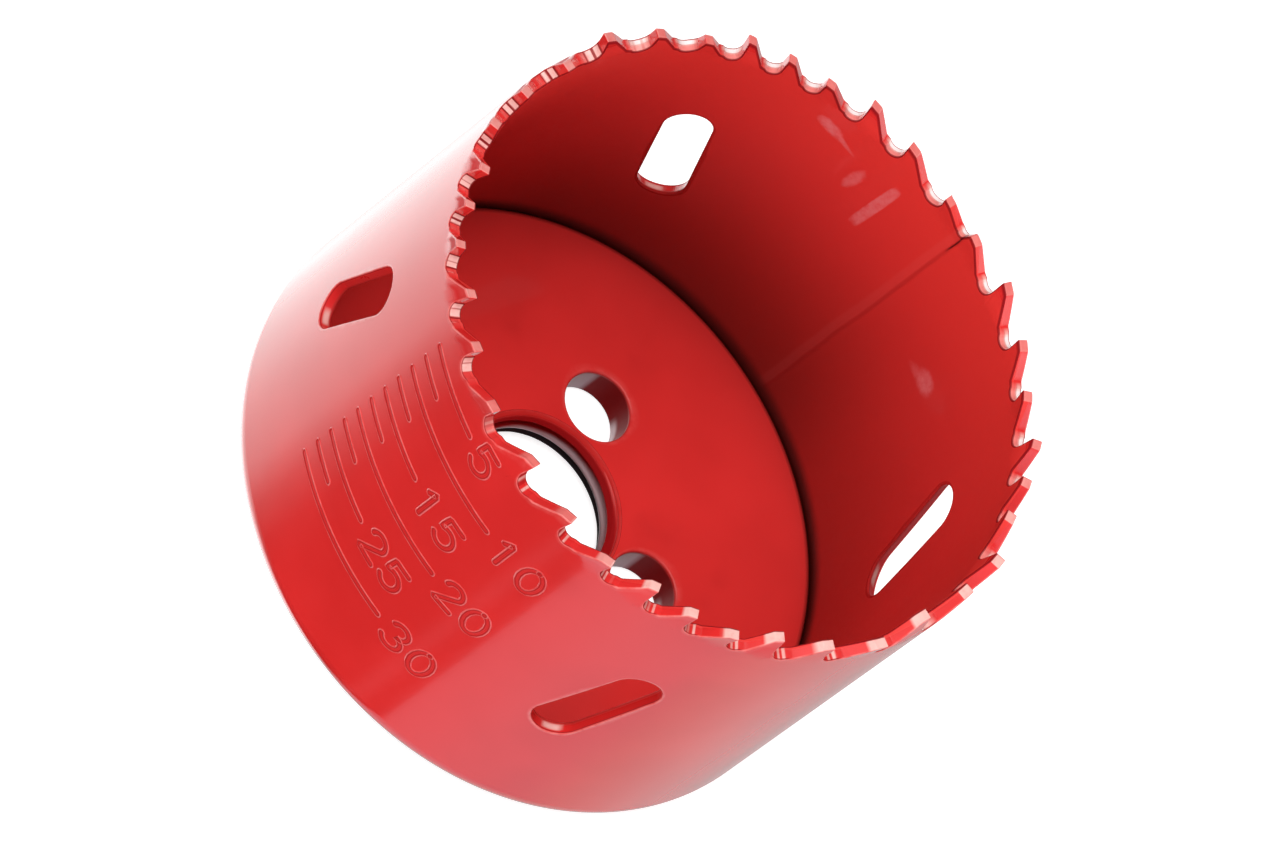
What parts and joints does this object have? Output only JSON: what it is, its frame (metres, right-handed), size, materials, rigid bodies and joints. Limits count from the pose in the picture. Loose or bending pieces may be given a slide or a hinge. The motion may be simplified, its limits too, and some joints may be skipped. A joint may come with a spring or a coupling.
{
  "type": "hole saw",
  "caption": "Cup-shaped hole saw with a variable pitch toothed rim, slanted ejection slots and a threaded back plate with drive pin holes.",
  "frame": {"origin": "centre of the back plate's rear face", "axes": "+Z along the saw's axis, from the back plate to the teeth; +X through the middle of one ejection slot"},
  "size_m": [0.0637, 0.0636, 0.0429],
  "materials": {
    "painted_strip": "gloss red paint on spring steel",
    "painted_edge": "gloss red paint on high speed steel",
    "painted_plate": "gloss red paint on mild steel, bare in the thread",
    "painted_weld": "gloss red paint over weld metal"
  },
  "bodies": {
    "root": {"wall_strip": "painted_strip", "tooth_edge": "painted_edge", "back_plate": "painted_plate", "rear_weld": "painted_weld"}
  },
  "joints": []
}
